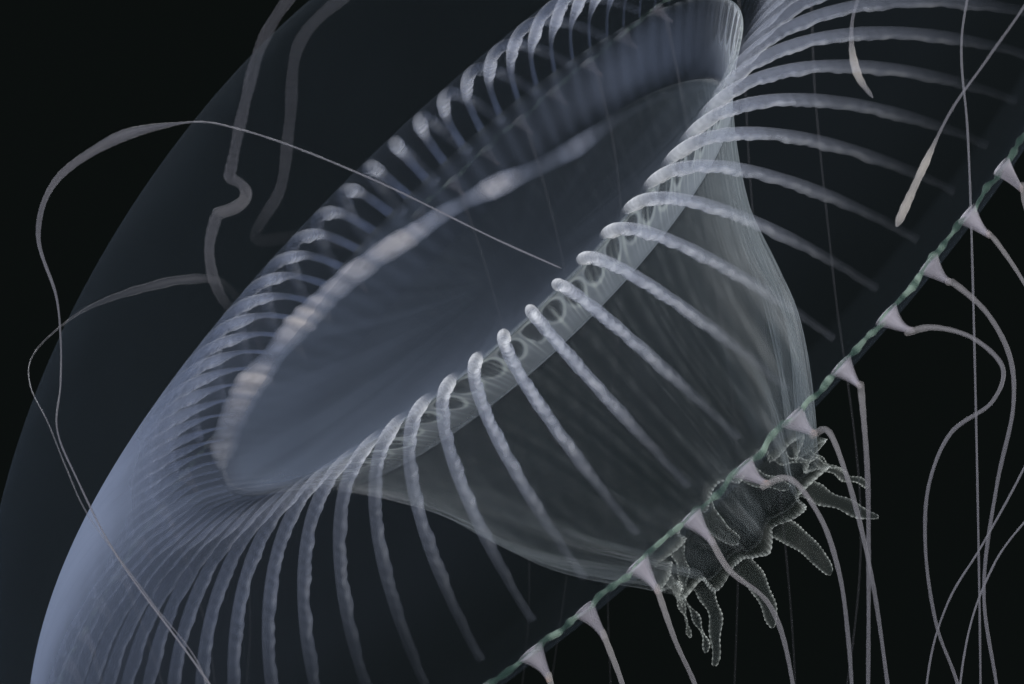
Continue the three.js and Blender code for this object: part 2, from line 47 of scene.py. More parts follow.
mm = 0.001
turn = 2 * np.pi
bell_centre = np.array([0.0, 0.0, 150.0])
lean, heading, own_turn = np.radians([46.06, -157.6, 158.93])


def about_z(angle):
    """Matrix of a turn by angle about z."""
    c, s = np.cos(angle), np.sin(angle)
    return np.array([[c, -s, 0], [s, c, 0], [0, 0, 1]])


def about_y(angle):
    """Matrix of a turn by angle about y."""
    c, s = np.cos(angle), np.sin(angle)
    return np.array([[c, 0, s], [0, 1, 0], [-s, 0, c]])


pose = about_z(heading) @ about_y(lean) @ about_z(own_turn)
out_of_bell = pose @ np.array([0, 0, -1.0])


def leant(points):
    """Points of the animal's frame in the upright one: pose times the point, plus the bell's centre."""
    return points @ pose.T + bell_centre


def round_turn(count):
    """Angles spaced evenly round one turn, from 0."""
    return np.linspace(0, turn, count, endpoint=False)


def unit(vectors):
    """Each vector divided by its own length."""
    return vectors / np.linalg.norm(vectors, axis=-1, keepdims=True)


def round_axis(angle, radius, height):
    """Points (r sin a, -r cos a, h) of the animal's frame, for arrays or numbers."""
    angle, radius, height = np.broadcast_arrays(angle, radius, height)
    return np.stack([radius * np.sin(angle), -radius * np.cos(angle), height], -1)


# --- The camera -------------------------------------------------------------------------------
# Level, just right of the bell's centre and 213 mm in front of it, with a long lens.

viewer = bpy.data.cameras.new("viewer")
viewer.lens, viewer.sensor_width = 107.58, 36
viewer.clip_start, viewer.clip_end = 0.01, 20
viewer.dof.use_dof = False
viewer_stand = bpy.data.objects.new("viewer", viewer)
viewer_stand.location = (bell_centre + (2.59, -213.27, -7.2)) * mm
viewer_stand.rotation_euler = (np.pi / 2, 0, 0)
scene = bpy.context.scene
scene.collection.objects.link(viewer_stand)
scene.camera = viewer_stand
scene.view_settings.view_transform = "Standard"
scene.cycles.transparent_max_bounces = 64
scene.cycles.use_denoising = True
scene.cycles.max_bounces = 3
scene.cycles.diffuse_bounces = 2

# --- The room ---------------------------------------------------------------------------------
# A dark room, a small round pale floor under the stand, and large soft lamps round the model.

room = bpy.data.worlds.new("dark_room")
scene.world = room
room.use_nodes = True
room.node_tree.nodes["Background"].inputs["Color"].default_value = (0.0034, 0.0046, 0.0044, 1)


def soft_lamp(name, place, colour=(1, 1, 1)):
    """A square lamp of 4 W, half a metre wide, at a place in metres, that faces the bell's centre."""
    lamp = bpy.data.lights.new(name, "AREA")
    lamp.energy, lamp.size, lamp.color = 4, 0.5, colour
    holder = bpy.data.objects.new(name, lamp)
    holder.location = place
    aim = Vector(bell_centre * mm) - Vector(place)
    holder.rotation_euler = aim.to_track_quat("-Z", "Y").to_euler()
    holder.visible_camera = False
    scene.collection.objects.link(holder)


soft_lamp("front_lamp", (0.25, -0.75, 0.45))
soft_lamp("left_lamp", (-0.7, -0.15, 0.4), (0.9, 0.93, 1))
soft_lamp("right_lamp", (0.7, 0.25, 0.35))
soft_lamp("back_lamp", (-0.2, 0.75, 0.5), (0.93, 0.95, 1))


class Shade:
    """One output of a finish's node tree, on which +, * and ** add Math nodes."""

    def __init__(self, finish, socket):
        self.finish, self.socket = finish, socket

    def math(self, operation, *others):
        return self.finish.node("ShaderNodeMath", {"operation": operation}, [self, *others])

    def __add__(self, other):
        return self.math("ADD", other)

    def __mul__(self, other):
        return self.math("MULTIPLY", other)

    def __pow__(self, other):
        return self.math("POWER", other)

    __radd__ = __add__
    __rmul__ = __mul__


class Finish:
    """A material and its node tree."""

    def __init__(self, name):
        self.material = bpy.data.materials.new(name)
        self.material.use_nodes = True
        self.tree = self.material.node_tree
        self.surface = self.tree.nodes["Principled BSDF"]

    def put(self, socket, value):
        """Links an output to a socket, or sets the socket to a plain value."""
        if isinstance(value, Shade):
            self.tree.links.new(value.socket, socket)
        else:
            socket.default_value = value

    def node(self, kind, settings=None, sockets=(), output=0):
        """Adds a node: its kind, its settings, what its sockets take, and the output to hand back."""
        made = self.tree.nodes.new(kind)
        for key, value in (settings or {}).items():
            setattr(made, key, value)
        pairs = sockets.items() if isinstance(sockets, dict) else enumerate(sockets)
        for key, value in pairs:
            self.put(made.inputs[key], value)
        return Shade(self, made.outputs[output])

    def mixed(self, amount, first, second):
        """Colour between first and second."""
        return self.node("ShaderNodeMix", {"data_type": "RGBA"}, {0: amount, 6: first, 7: second}, 2)

    def own(self, name):
        """A value that the mesh carries at each point."""
        return self.node("ShaderNodeAttribute", {"attribute_name": name}, output="Fac")

    def skin(self, **sockets):
        """Sets the surface's sockets, with _ for a space in their names."""
        for key, value in sockets.items():
            self.put(self.surface.inputs[key.replace("_", " ")], value)
        return self.material


def srgb(red, green, blue):
    """A colour of 0 to 255 as the linear one that a socket takes."""
    part = np.array([red, green, blue]) / 255
    line = np.where(part <= 0.04045, part / 12.92, ((part + 0.055) / 1.055) ** 2.4)
    return (*line, 1.0)


floor_finish = Finish("pale_floor")
floor_grain = floor_finish.node("ShaderNodeTexNoise", {}, {"Scale": 90, "Detail": 3})
floor_finish.skin(
    Base_Color=floor_finish.mixed(floor_grain, srgb(188, 188, 184), srgb(204, 204, 200)), Roughness=0.8)
floor_radius, floor_sides = 0.26, 96
floor_mesh = bpy.data.meshes.new("floor")
floor_mesh.from_pydata(
    [(floor_radius * np.cos(a), floor_radius * np.sin(a), 0.0) for a in round_turn(floor_sides)],
    [], [list(range(floor_sides))])
floor = bpy.data.objects.new("floor", floor_mesh)
floor.data.materials.append(floor_finish.material)
scene.collection.objects.link(floor)

# --- The umbrella -----------------------------------------------------------------------------
# A saucer of clear jelly, thick in the middle, 100 mm across. One skin goes over the dome, round
# the thin edge with its narrow shelf, along the underside and over the roof of the stomach.

bell_radius, bell_height, bell_fullness = 50.0, 26.8, 1.134
margin_level = -7.3
stomach_radius = 24.4
lens_sag = 3.6
canal_count = 80


def dome_outline(share):
    """Radius R cos(t)^n and height z0 + H sin(t)^n, with t = share of a quarter turn."""
    angle = np.clip(share, 0, 1) * np.pi / 2
    cosine, sine = np.clip(np.cos(angle), 0, 1), np.sin(angle)
    return bell_radius * cosine ** bell_fullness, margin_level + bell_height * sine ** bell_fullness


underside_ends = np.array([[stomach_radius, 0], [32, 5.1], [44, 1.2], [bell_radius, margin_level]])


def underside(share, offset=0.0):
    """Cubic Bezier from the stomach's rim to the margin, moved by offset along its upward normal."""
    t = np.asarray(share, float)[..., None]
    a, b, c, d = underside_ends
    place = (1 - t) ** 3 * a + 3 * t * (1 - t) ** 2 * b + 3 * t ** 2 * (1 - t) * c + t ** 3 * d
    along = unit(3 * ((1 - t) ** 2 * (b - a) + 2 * t * (1 - t) * (c - b) + t ** 2 * (d - c)))
    offset = np.asarray(offset, float)
    return place[..., 0] - offset * along[..., 1], place[..., 1] + offset * along[..., 0]


def rise(x, low, high):
    """0 below low, 1 above high, and 3t^2 - 2t^3 between them."""
    t = np.clip((x - low) / (high - low), 0, 1)
    return t * t * (3 - 2 * t)


def skinned(name, sheets, loop=False, **values):
    """
    One mesh of one or more grids of points [row, column]. A quad joins each cell; columns close on
    themselves, and rows too if loop. Otherwise the first and last rows are closed by a fan about
    their mean point. Each named value has one array for each grid, of the grid's shape.
    """
    points, faces, carried, count = [], [], {key: [] for key in values}, 0
    for number, sheet in enumerate(sheets):
        rows, columns = sheet.shape[:2]
        index = np.arange(rows * columns).reshape(rows, columns) + count
        low = np.vstack([index, index[:1]]) if loop else index
        low = np.hstack([low, low[:, :1]])
        quads = np.stack([low[:-1, :-1], low[:-1, 1:], low[1:, 1:], low[1:, :-1]], -1).reshape(-1, 4)
        points.append(sheet.reshape(-1, 3))
        faces += quads.tolist()
        for key in carried:
            carried[key].append(values[key][number].reshape(-1))
        count += rows * columns
        if not loop:
            for row, flip in ((0, True), (rows - 1, False)):
                ring = low[row]
                points.append(sheet[row].mean(0, keepdims=True))
                fan = np.stack([ring[:-1], ring[1:], np.full(len(ring) - 1, count)], -1)
                faces += (fan[:, ::-1] if flip else fan).tolist()
                for key in carried:
                    carried[key].append(values[key][number][row].mean(keepdims=True))
                count += 1
    places = np.concatenate(points)
    mesh = bpy.data.meshes.new(name)
    mesh.from_pydata((places * mm).tolist(), [], faces)
    mesh.calc_loop_triangles()
    corners = np.empty(3 * len(mesh.loop_triangles), dtype=np.int32)
    mesh.loop_triangles.foreach_get("vertices", corners)
    a, b, c = (places - places.mean(0))[corners.reshape(-1, 3)].transpose(1, 0, 2)
    if np.einsum("ij,ij->", a, np.cross(b, c)) < 0:
        mesh.flip_normals()
    for key, arrays in carried.items():
        mesh.attributes.new(key, "FLOAT", "POINT").data.foreach_set(
            "value", np.concatenate(arrays).astype(np.float32))
    mesh.shade_smooth()
    mesh.update()
    return mesh


def put_on(mesh, finish, slot, *nodes):
    """Shows a finished mesh: it moves with the model and stands for the solids that are named."""
    piece = bpy.data.objects.new(mesh.name, mesh)
    piece.data.materials.append(finish)
    scene.collection.objects.link(piece)
    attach(piece, "root")
    if nodes:
        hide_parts(*nodes)


def tissue(name, deep, pale, face, rim, power, mottle=0.3, grain_size=700, roughness=0.45, bending=1.5):
    """
    Clear tissue of the index bending. Opacity is cover * (face + rim * facing^power) times a noise
    of 1 - mottle to 1 + mottle, and at most 1. The mesh carries cover; pale, which turns the colour
    from deep to pale; and rim, where rim is a name.
    """
    made = Finish(name)
    rim = made.own(rim) if isinstance(rim, str) else rim
    facing = made.node("ShaderNodeLayerWeight", {}, {"Blend": 0.5}, "Facing")
    cloud = made.node(
        "ShaderNodeTexNoise", {}, {"Vector": made.node("ShaderNodeTexCoord", output="Object"),
                                   "Scale": grain_size, "Detail": 2})
    opacity = made.own("cover") * (face + rim * facing ** power) * (1 - mottle + 2 * mottle * cloud)
    colour = made.mixed(made.own("pale"), srgb(*deep), srgb(*pale))
    return made.skin(Base_Color=colour, Roughness=roughness, Specular_IOR_Level=0.2, IOR=bending,
                     Alpha=opacity.math("MINIMUM", 1.0))


def beside(angle, centre, spread):
    """exp(-(d / spread)^2), where d is how far an angle is from the centre, the short way round."""
    away = (angle - centre + np.pi) % turn - np.pi
    return np.exp(-(away / spread) ** 2)


# Angles round the axis, in radians: towards the viewer, away, and to the viewer's left.
near_side, far_side, left_side = 0.5, 3.3, 4.9


def uneven(angles, count, seed):
    """Smooth noise from 0 to 1 round a ring: a cosine passage between count seeded values."""
    values = np.random.default_rng(seed).random(count)
    at = (angles / turn * count) % count
    k = np.floor(at).astype(int) % count
    t = 0.5 - 0.5 * np.cos(np.pi * (at - np.floor(at)))
    return values[k] * (1 - t) + values[(k + 1) % count] * t


def umbrella_skin():
    """
    The dome's outline, the edge, the shelf, the underside and the roof, turned about the axis. The
    underside's cover is a film over its middle plus a veil at the left and behind; the roof's is
    strongest where it faces the left, a painted light that makes its lit side denser and brighter.
    """
    dome = np.stack(dome_outline(np.linspace(0.985, 0.02, 60)), -1)
    edge = np.array([[50.0, -7.45], [49.7, -7.9], [48.6, -8.05], [47.1, -8.3], [45.7, -8.6], [45.6, -8.5],
                     [46.8, -7.9], [48.0, -7.2], [48.2, -6.2]])
    share = np.linspace(0.93, 0.0, 44)[:, None]
    below = np.stack(underside(share[:, 0], 0.05), -1)
    inward = np.linspace(1, 0.03, 16)[1:]
    roof_radius, roof_top = below[-1]
    roof = np.stack([roof_radius * inward, roof_top - lens_sag * (1 - inward ** 2)], -1)
    outline = np.concatenate([dome, edge, below, roof])
    angles = round_turn(240)
    points = leant(round_axis(angles[None, :], outline[:, :1], outline[:, 1:]))
    film = rise(share, 0.1, 0.3) * (1 - rise(share, 0.7, 0.93))
    outer = rise(share, 0.07, 0.42) * (1 - rise(share, 0.8, 0.97))
    inner = (1 - rise(share, 0.08, 0.34)) * (0.7 + 0.6 * uneven(angles, 160, 24))
    crest = 0.4 * beside(angles, far_side, 0.7) + 3.0 * beside(angles, 4.15, 0.4)
    crest += 6.0 * beside(angles, 4.84, 0.34)
    veil = 16.5 * outer * beside(angles, 4.58, 0.5) + inner * crest
    fan = beside(angles, 4.05, 0.85) * (0.5 + uneven(angles, 90, 21))
    streaks = uneven(angles, 44, 22) * uneven(angles, 130, 23)
    # Painted light: the roof is made much denser, and so brighter, towards its lit side at the left.
    painted_light_side = (0.5 + 0.5 * inward[:, None] * np.cos(angles - 5.05)) ** 2
    near = beside(angles, near_side, 1.3)
    cover = np.ones(points.shape[:2]) + 0.35 * beside(angles, 5.0, 0.8) - 0.3 * near
    # Rows up to first are the dome and the edge, those up to last the underside, the rest the roof.
    first = len(dome) + len(edge)
    last = first + len(below)
    cover[len(dome):first] = 0.1 + 1.0 * beside(angles, near_side, 1.4)
    film = film * (0.75 - 0.45 * near - 0.3 * beside(angles, far_side, 0.8))
    cover[first:last] = 0.34 - 0.12 * near + film + veil
    # The roof: a base cover, the painted light on its lit side, and the fan and the streaks.
    cover[last:] = 0.6 + 10.0 * painted_light_side + inward[:, None] * (2.2 * fan + 2.4 * streaks)[None, :]
    pale = np.zeros(points.shape[:2])
    pale[first:last] = np.clip(0.3 + film + veil, 0, 1)
    pale[last:] = 0.5
    return skinned("umbrella_jelly", [points], cover=[cover], pale=[pale])


jelly_finish = tissue("clear_jelly", deep=(99, 112, 128), pale=(133, 144, 168), face=0.036, rim=0.05,
                      power=6.0, mottle=0.25, grain_size=130, roughness=0.5, bending=1.02)
put_on(umbrella_skin(), jelly_finish, "jelly", "bell_dome", "velum")

# --- The radial canals and gonads -------------------------------------------------------------
# Eighty thin canals run from the stomach over the crest of the underside to the edge. From the
# crest outwards each carries a gonad: a soft double ribbon with a pale wavy free edge.

canal_step = turn / canal_count
canal_phase, bulb_phase = 0.71, 0.45
quarters = 4
quarter_canals = canal_count // quarters
gonad_width, gonad_depth = 0.76, 0.84
canal_length = 31.0


def varied(number, purpose):
    """A number from -1 to 1 that stays the same for the same canal and purpose."""
    value = np.sin(np.asarray(number, float) * 12.9898 + purpose * 78.233) * 43758.5453
    return 2 * (value - np.floor(value)) - 1


def gonad_ribbons(quarter):
    """
    For canal k at angle (k + phase) * step, the section (w sin q, d (1 - cos q) / 2) is carried
    along the underside, w and d rising past the crest and fading out before the edge; the free
    side sways by sines of the distance. Ribbons at the back are plumper, those at the left plainer.
    Cover is a faint start on the canal, then a body that is densest at its tip near the crest and
    fades along the ribbon, times a braid and a light free edge.
    """
    share = np.linspace(0.004, 0.95, 200)[:, None]
    q = round_turn(14)[None, :]
    hang = (1 - np.cos(q)) / 2
    travel = share * canal_length
    sheets, cover, pale, soft = [], [], [], []
    for canal in range(quarter * quarter_canals, (quarter + 1) * quarter_canals):
        angle = (canal + canal_phase) * canal_step
        far, left = beside(angle, far_side, 0.8), beside(angle, left_side, 1.0)
        near, steep = beside(angle, 0.4, 0.85), beside(angle, 1.75, 0.5)
        grown = rise(share, 0.05 + 0.07 * far + 0.02 * varied(canal, 11), 0.2 + 0.1 * far)
        grown *= 1 - 0.5 * rise(share, 0.7, 0.95)
        lump = 1 + 0.04 * np.sin(travel + 3 * varied(canal, 5))
        lump += 0.03 * np.sin(2.2 * travel + varied(canal, 6))
        slim = 0.16 + 0.5 * far + 0.1 * left
        width = gonad_width / 2 * (1 + 0.75 * far) * (slim + (1 - slim) * grown ** 0.7) * lump
        depth = gonad_depth * (1 + 0.1 * far) * (0.2 + 0.8 * grown ** 0.7) * lump
        sway = 0.06 * np.sin(turn * travel / 1.25 + 2.2 * np.sin(travel * 0.9 + 3 * varied(canal, 7)))
        sway += 0.05 * np.sin(turn * travel / 3.1 + 3 * varied(canal, 8))
        down = depth * hang
        across = width * np.sin(q) + sway * grown * hang ** 2
        radius, height = underside(np.repeat(share, q.size, 1), 0.06 - down)
        sheets.append(leant(round_axis(angle + across / radius, radius, height)))
        tip = np.exp(-((share - 0.19 - 0.06 * far) / (0.08 + 0.04 * far)) ** 2) * (1 - 0.9 * left)
        tip *= 1 - 0.85 * beside(angle, 0.92, 0.4)
        fade = 1 - rise(share, 0.45, 0.92)
        start = (0.05 + 0.1 * left + 0.1 * far + 0.2 * beside(angle, 4.15, 0.4)) * (1 - grown)
        body = 0.42 - 0.29 * left + 0.25 * far + 0.22 * near + (0.5 + 0.5 * far + 0.5 * near) * tip
        body = start + grown * body * (0.03 + 0.97 * fade)
        # Fainter at some places round the ring: the whole ribbon, its outer part or its start.
        body *= (1 - 0.22 * beside(angle, 4.05, 0.35)) * (1 - 0.32 * beside(angle, 5.6, 0.5))
        body *= (1 - 0.3 * steep) * (1 - 0.5 * beside(angle, 1.15, 0.4))
        body *= 1 - 0.66 * beside(angle, 0.6, 0.38) * rise(share, 0.34, 0.63)
        body *= 1 - 0.55 * beside(angle, 5.93, 0.17) * rise(share, 0.3, 0.45)
        body *= 1 - 0.3 * beside(angle, 5.4, 0.35) * (1 - rise(share, 0.25, 0.45))
        edge = rise(hang, 0.76, 0.99)
        draws = np.random.default_rng(canal).random(60)
        twist = np.interp(travel, np.linspace(0, canal_length, 60), draws)
        braid = np.sin(turn * travel / 0.95 + 2.4 * np.cos(q) + 2 * twist)
        braid = 1 + (0.09 + 0.12 * left) * braid * (1 - far) * grown
        cover.append(body * (0.72 + (0.5 + 0.7 * twist) * edge) * braid)
        shine = grown * (0.12 + 0.4 * twist) * (1 - 0.5 * left) * edge
        light = 0.1 * grown * (1 - 0.7 * left) + (0.35 + 0.65 * near - 0.2 * steep) * tip + 0.35 * near
        pale.append(np.clip(light + shine, 0, 1))
        soft.append(np.full(down.shape, -0.4 - 0.5 * far))
    return skinned(f"gonads_{quarter + 1}", sheets, cover=cover, pale=pale, soft=soft)


gonad_finish = tissue("gonad_tissue", deep=(124, 140, 178), pale=(246, 248, 253), face=0.9, rim="soft",
                      power=0.9, mottle=0.25, grain_size=900)
for quarter in range(quarters):
    put_on(gonad_ribbons(quarter), gonad_finish, "canals", f"underside_ribs_{quarter + 1}")

# --- The stomach's ridge ----------------------------------------------------------------------
# A lumpy cream-white fold of thicker tissue. At the left and front it lies on the rim, where the
# stomach's wall joins the underside; towards the back it drops a few millimetres down the wall.

skirt_depth, mouth_radius, lip_count = 28.0, 7.2, 12
skirt_places = np.array([[stomach_radius - 0.12, -0.1], [20.1, -4], [15.8, -11], [12.8, -19.5],
                         [mouth_radius, -skirt_depth]])


def spline(places, share):
    """Even Catmull-Rom curve through places: share 0 is the first and 1 the last of them."""
    places = np.asarray(places, float)
    at = np.clip(np.asarray(share, float), 0, 1) * (len(places) - 1)
    k = np.minimum(at.astype(int), len(places) - 2)
    t = (at - k)[..., None]
    b, c = places[k], places[k + 1]
    a = places[np.maximum(k - 1, 0)]
    d = places[np.minimum(k + 2, len(places) - 1)]
    bend = (a - 2.5 * b + 2 * c - 0.5 * d) * t ** 2 + 0.5 * (3 * b - a - 3 * c + d) * t ** 3
    return b + 0.5 * (c - a) * t + bend


def rim_ridge():
    """
    A closed strip with the section (half cos q, thick sin q) along the wall, broad from the back to
    the left, where its lumps swell and whiten it, and thin elsewhere. Cover falls to the strip's
    edges as 1 - |cos q|^2.2.
    """
    angles = round_turn(1200)
    q = round_turn(20)
    canal = angles / canal_step
    share = 0.275 * rise(canal, 8, 22) * (1 - rise(canal, 33.5, 51.7))
    strong = rise(canal, 39.6, 42.2) * (1 - rise(canal, 54, 61))
    strong = np.maximum(strong, 0.8 * np.exp(-((canal - 38.3) / 1.5) ** 2))
    strong = np.maximum(strong, 0.45 * np.exp(-((canal - 34.0) / 1.2) ** 2))
    wide = rise(canal, 28, 34) * (1 - rise(canal, 57, 61))
    lump = uneven(angles, 44, 3) * (0.45 + 0.55 * uneven(angles, 230, 4))
    place = spline(skirt_places, share)
    along = unit(spline(skirt_places, share + 0.02) - place)
    half = 0.25 + wide * (0.55 + 0.25 * rise(canal, 42, 48)) + 0.65 * strong * lump
    thick = 0.05 + strong * 0.3 * lump
    drift = 0.9 * strong * (uneven(angles, 24, 5) - 0.5)
    down, out = half[:, None] * np.cos(q) + drift[:, None], thick[:, None] * np.sin(q) - 0.35
    radius = place[:, :1] + down * along[:, :1] - out * along[:, 1:]
    height = place[:, 1:] + down * along[:, 1:] + out * along[:, :1]
    points = leant(round_axis(angles[:, None], radius, height))
    soft = (1 - np.abs(np.cos(q)) ** 2.2)[None, :]
    stripe = 0.5 + 0.5 * np.cos(turn * (canal - canal_phase))
    line = 0.02 + 0.08 * rise(canal, 28, 38) * (1 - rise(canal, 52, 57))
    cover = (line + strong * (0.65 + 1.1 * lump ** 1.2) * (0.65 + 0.35 * stripe))[:, None] * soft
    pale = np.clip(0.1 + strong * 1.2 * lump ** 1.5, 0, 1)[:, None] * (0.3 + 0.7 * soft)
    return skinned("stomach_rim", [points], loop=True, cover=[cover], pale=[pale])


rim_finish = tissue("rim_tissue", deep=(112, 124, 148), pale=(206, 200, 200), face=1.0, rim=-0.3,
                    power=1.3, mottle=0.8, grain_size=640, roughness=0.5)
put_on(rim_ridge(), rim_finish, "skirt", "stomach_wall")

# --- The stomach's wall and the skirt below it ------------------------------------------------
# A soft grey band hangs from the rim, with fine fibres and gaps between the canals' starts, and
# below it a nearly clear skirt narrows in twelve folds towards the mouth.

def skirt_shell(first, last, rows, inner_rows, angles, thickness):
    """Outer then inner side of the skirt between two shares of its outline, as one closed loop."""
    share = np.concatenate([np.linspace(first, last, rows), np.linspace(last, first, inner_rows)])
    outline = spline(skirt_places, share)
    slope = unit(spline(skirt_places, share + 0.005) - spline(skirt_places, share - 0.005))
    outline[rows:] += thickness * np.stack([slope[:, 1], -slope[:, 0]], -1)[rows:]
    radius, height = outline[:, :1], outline[:, 1:] + 0 * angles
    depth = np.clip((-height - 6) / (skirt_depth - 6), 0, 1)
    folds = 1 + 0.12 * depth ** 2.5 * np.cos(lip_count * (np.pi / 2 - angles))
    folds += 0.012 * depth * np.sin(37 * angles + height * 0.5)
    return radius * folds, height, share[:, None] + 0 * angles


def stomach_band():
    """
    At the front, ovals of thin wall between the canals, each with a thread-like border that is
    strongest on one side, and fine fibres; at the back only a dim line below each canal and a
    cloud beside it. The outer side is denser, and at the left the wall fades downwards.
    """
    angles = round_turn(1600)[None, :]
    lower_end, outer_rows = 0.25, 42
    radius, height, share = skirt_shell(0, lower_end, outer_rows, 10, angles, 0.3)
    place = (angles / canal_step - canal_phase) % 1.0
    down = share / lower_end
    wall = np.floor(angles / canal_step - canal_phase)
    broad, drop = 0.4 + 0.06 * varied(wall, 21), 0.34 + 0.06 * varied(wall, 22)
    oval = np.hypot((place - 0.47) / broad, (down - drop) / 0.3)
    gap = 1 - rise(oval, 0.75, 1.1)
    border = np.exp(-((oval - 1.12) / 0.12) ** 2)
    turned = np.arctan2(down - drop, place - 0.47)
    border *= 0.3 + 0.7 * (0.5 + 0.5 * np.cos(turned - 0.6 - 1.1 * varied(wall, 23))) ** 1.5
    fibre = 0.5 + 0.5 * np.sin(angles * 311 + 3 * np.sin(angles * 43))
    fibre = fibre ** 2 * 1.6 * uneven(angles, 430, 25) * np.exp(-((down - 0.5) / 0.35) ** 2)
    line = np.exp(-(np.minimum(place, 1 - place) / 0.25) ** 2) * (1 - 0.5 * down)
    front = 1 - rise(angles, 1.3, 1.9) * (1 - rise(angles, 5.0, 5.7))
    wall_front = np.clip(0.62 - 0.46 * gap + 0.42 * border + 0.2 * fibre, 0.04, 1.2)
    side = np.where(np.arange(len(share)) < outer_rows, 3.3, 0.6)[:, None]
    cloudy = 0.6 * beside(angles, 2.25, 0.4) * rise(down, 0.0, 0.7)
    cloudy *= 1 - rise(down, 0.7, 1.0)
    cover = side * front * wall_front + (1 - front) * (0.03 + 0.26 * line + cloudy)
    cover *= 1 - beside(angles, left_side, 0.95) * rise(down, 0.35, 1.0)
    cover *= 1 - 0.75 * beside(angles, 5.2, 0.6) * (1 - rise(down, 0, 0.5))
    cover *= 1 - 0.5 * rise(down, 0.95, 1.0)
    pale = np.clip(front * (0.35 + 0.4 * border + 0.4 * fibre) + 0.3 * np.exp(-(down / 0.1) ** 2), 0, 1)
    points = leant(round_axis(angles, radius, height))
    return skinned("stomach_band", [points], loop=True, cover=[cover], pale=[pale])


def mouth_skirt():
    """Fine fibres run down it; the wall at the back is fainter than the one at the front."""
    angles = round_turn(480)[None, :]
    first, last, rows = 0.253, 0.995, 60
    radius, height, share = skirt_shell(first, last, rows, rows, angles, 0.25)
    fibre = 0.5 + 0.5 * np.sin(angles * 173 + 4 * np.sin(angles * 29))
    fibre = fibre ** 2 * (0.4 + 0.6 * np.sin(share * 40 + angles * 31) ** 2)
    cloud = uneven(angles, 26, 8)
    front = 1 - (0.85 - 0.45 * cloud * (1 - share)) * beside(angles, far_side, 1.2)
    cover = front * (0.85 + 0.45 * fibre) * (1 - 0.7 * rise(share, 0.93, 1.0))
    cover *= 1 - beside(angles, left_side, 0.7) * (1 - rise(share, 0.25, 0.5))
    upper_edge = 0.5 + 0.5 * rise(share, first, 0.27)
    cover *= (1.1 + 1.7 * beside(angles, 1.5, 0.5)) * upper_edge
    pale = np.clip(0.1 + 0.45 * fibre * front, 0, 1)
    points = leant(round_axis(angles, radius, height))
    return skinned("mouth_skirt", [points], loop=True, cover=[cover], pale=[pale])


band_finish = tissue("stomach_wall_tissue", deep=(105, 116, 139), pale=(188, 198, 200), face=0.3, rim=0.25,
                     power=2.5, mottle=0.25, grain_size=500)
put_on(stomach_band(), band_finish, "skirt", "stomach_wall")
skirt_finish = tissue("skirt_tissue", deep=(92, 104, 112), pale=(176, 184, 190), face=0.07, rim=0.4,
                      power=3.5, mottle=0.25, grain_size=300, roughness=0.4)
put_on(mouth_skirt(), skirt_finish, "skirt", "manubrium")

# --- The mouth's frill and lips ---------------------------------------------------------------
# The skirt ends in a short ruffled frill, and twelve narrow blunt tongues hang from it, thin and
# clear, each with an edge of tiny white beads.

lip_length, lip_width, bead_gap = 6.5, 1.75, 0.3


def mouth_frill():
    """A short ring below the skirt that waves in and out, more and more towards its beaded edge."""
    angles = round_turn(1500)[None, :]
    t = np.linspace(0, 1, 12)[:, None]
    wave = np.sin(14 * angles + 2 * np.sin(3 * angles))
    wave += 0.4 * np.sin(33 * angles + 2 * np.sin(5 * angles))
    length = 0.95 + 0.15 * np.sin(11 * angles + 1)
    bead = 0.5 + 0.5 * np.sin(turn * mouth_radius * angles / bead_gap)
    folds = 1 + 0.12 * np.cos(lip_count * (np.pi / 2 - angles))
    outer = mouth_radius * folds + 0.28 * rise(t, 0, 1) * wave
    height = -skirt_depth + 0.25 - t * length
    thick = 0.06 + 0.1 * t ** 6 * (0.4 + bead)
    points = leant(np.concatenate([round_axis(angles, outer + thick, height),
                                   round_axis(angles, outer - thick, height)[::-1]]))
    clump = 0.45 + 1.3 * uneven(angles, 44, 16) ** 2
    edge = np.clip(t ** 4 * (0.35 + 0.65 * bead) * clump, 0, 1)
    cover = 0.05 + 0.05 * t + 0.85 * edge
    return skinned("mouth_frill", [points], loop=True, cover=[np.concatenate([cover, cover[::-1]])],
                   pale=[np.concatenate([edge, edge[::-1]])])


